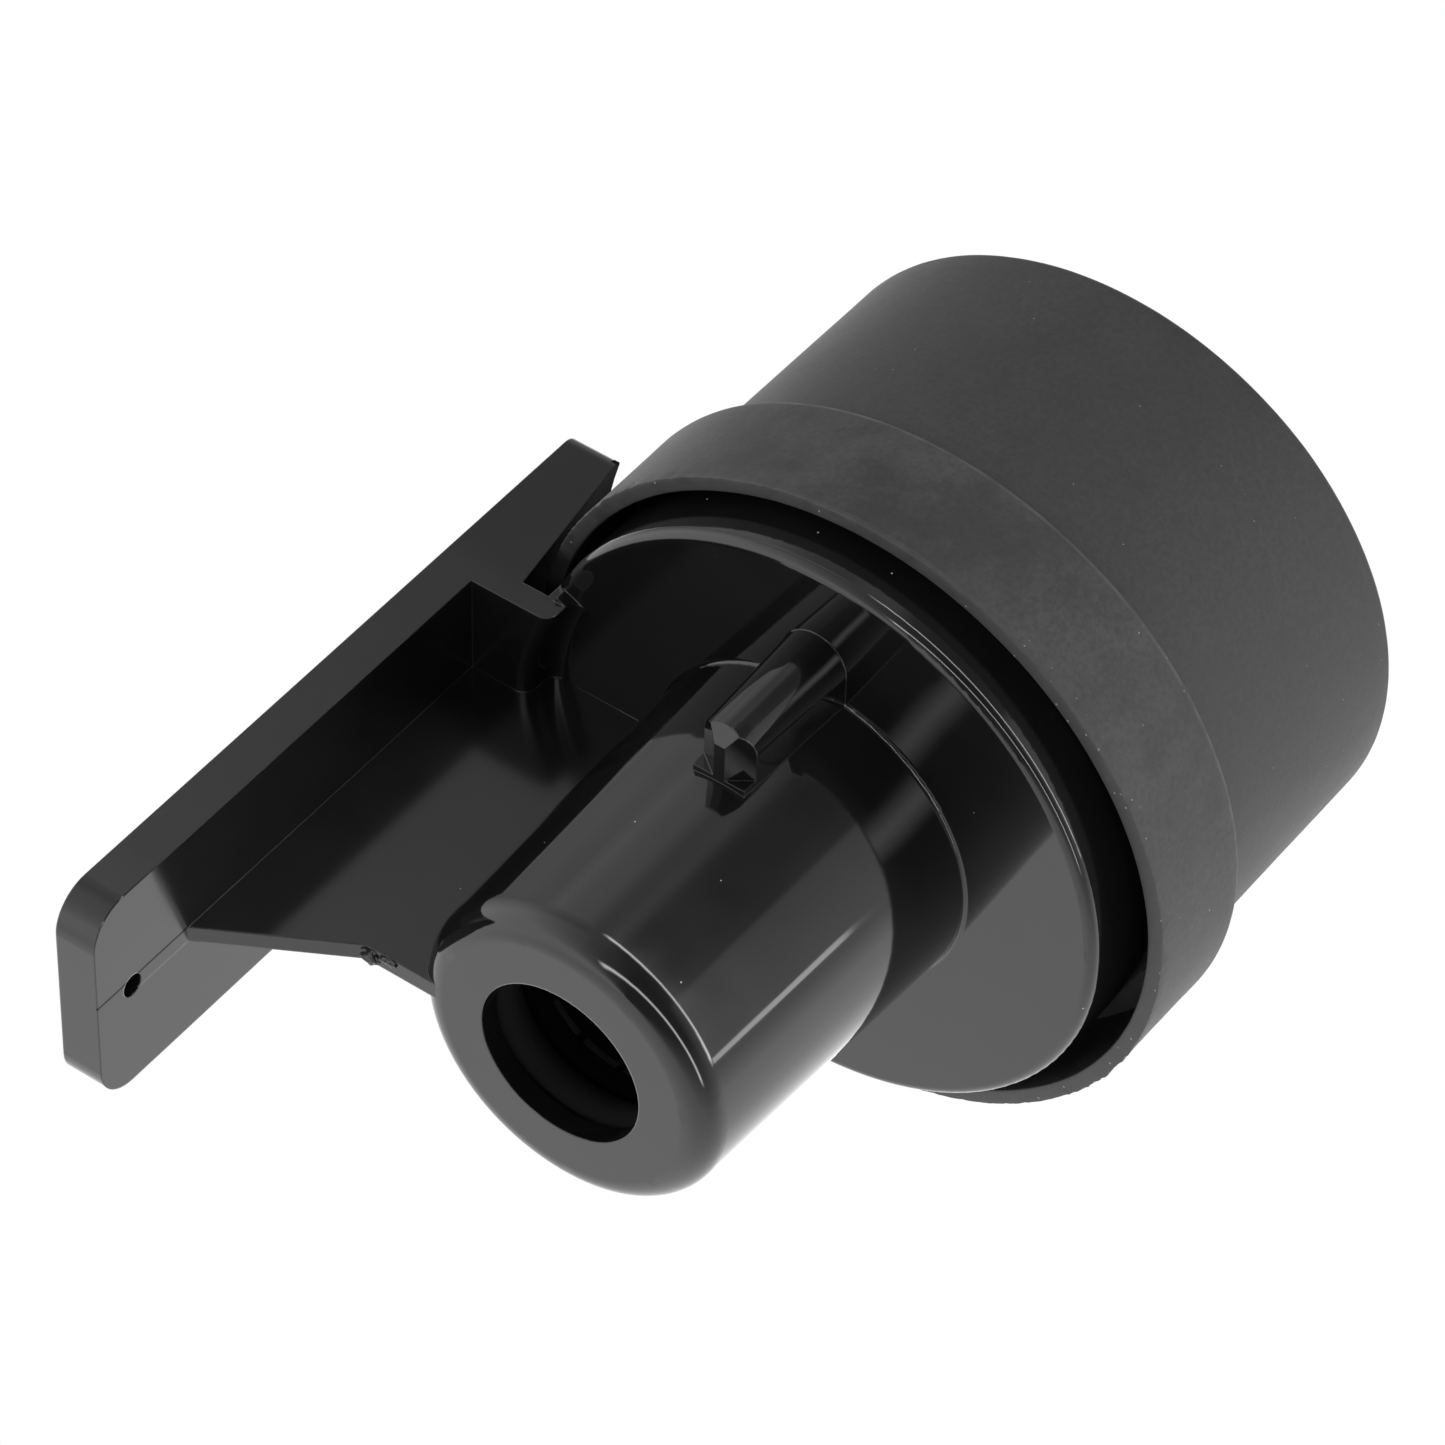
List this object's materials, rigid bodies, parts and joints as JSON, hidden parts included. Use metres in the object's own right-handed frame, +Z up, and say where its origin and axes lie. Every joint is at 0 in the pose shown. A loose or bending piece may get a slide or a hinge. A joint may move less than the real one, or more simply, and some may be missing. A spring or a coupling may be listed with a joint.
{
  "type": "toilet fill valve",
  "caption": "Compact float fill valve: round inlet nozzle on a flanged head with a flat T-section mounting rail, over a rubber-sleeved float cup that slides down to open the valve.",
  "frame": {"origin": "on the head's axis, in the plane of the float cup's closed flat end", "axes": "+Z up, along the axis of the head and out of the inlet nozzle; +X from the axis to the mounting rail"},
  "size_m": [0.0759, 0.07, 0.1045],
  "materials": {
    "black_plastic": "glossy moulded black, ABS",
    "boot_rubber": "matte dark grey moulded rubber",
    "white_plastic": "satin white acetal",
    "grey_plastic": "matte grey polypropylene",
    "filter_plastic": "matte dark grey nylon",
    "seal_rubber": "smooth black rubber",
    "stainless": "plain stainless steel",
    "black_steel": "blackened spring steel",
    "spring_steel": "bright spring steel"
  },
  "bodies": {
    "head": {"valve_head": "black_plastic", "guide_cage": "white_plastic", "cage_screws": "stainless", "valve_seat": "white_plastic", "seat_oring": "seal_rubber", "flow_restrictor": "filter_plastic", "filter_screen": "filter_plastic", "inlet_sleeve": "black_plastic", "grip_ring": "black_steel", "ring_spacer": "black_plastic", "inlet_oring": "seal_rubber", "spring_washer": "stainless", "return_spring": "spring_steel", "lever_pin": "stainless", "lower_cover": "black_plastic"},
    "float": {"float_boot": "boot_rubber", "float_shell": "grey_plastic", "lid_seal": "seal_rubber", "float_lid": "grey_plastic", "push_rod": "white_plastic", "rod_head": "white_plastic", "rod_locknut": "white_plastic"},
    "rocker": {"lever": "white_plastic"},
    "valve_plunger": {"plunger": "white_plastic", "plunger_seal": "seal_rubber"}
  },
  "joints": [
    {"name": "float_slide", "type": "slide", "parent": "head", "child": "float", "axis": [0, 0, 1], "range_m": [-0.012, 0]},
    {"name": "lever_tilt", "type": "hinge", "parent": "head", "child": "rocker", "pos_m": [0.006, 0, 0.033], "axis": [0, 1, 0], "range_deg": [-28.96, 0]},
    {"name": "plunger_slide", "type": "slide", "parent": "head", "child": "valve_plunger", "axis": [0, 0, 1], "range_m": [-0.003, 0], "deforming": ["return_spring"]}
  ],
  "couplings": [
    {"joint": "lever_tilt", "follows": "float_slide", "rad_per_m": 42.12},
    {"joint": "plunger_slide", "follows": "float_slide", "ratio": 0.25}
  ]
}
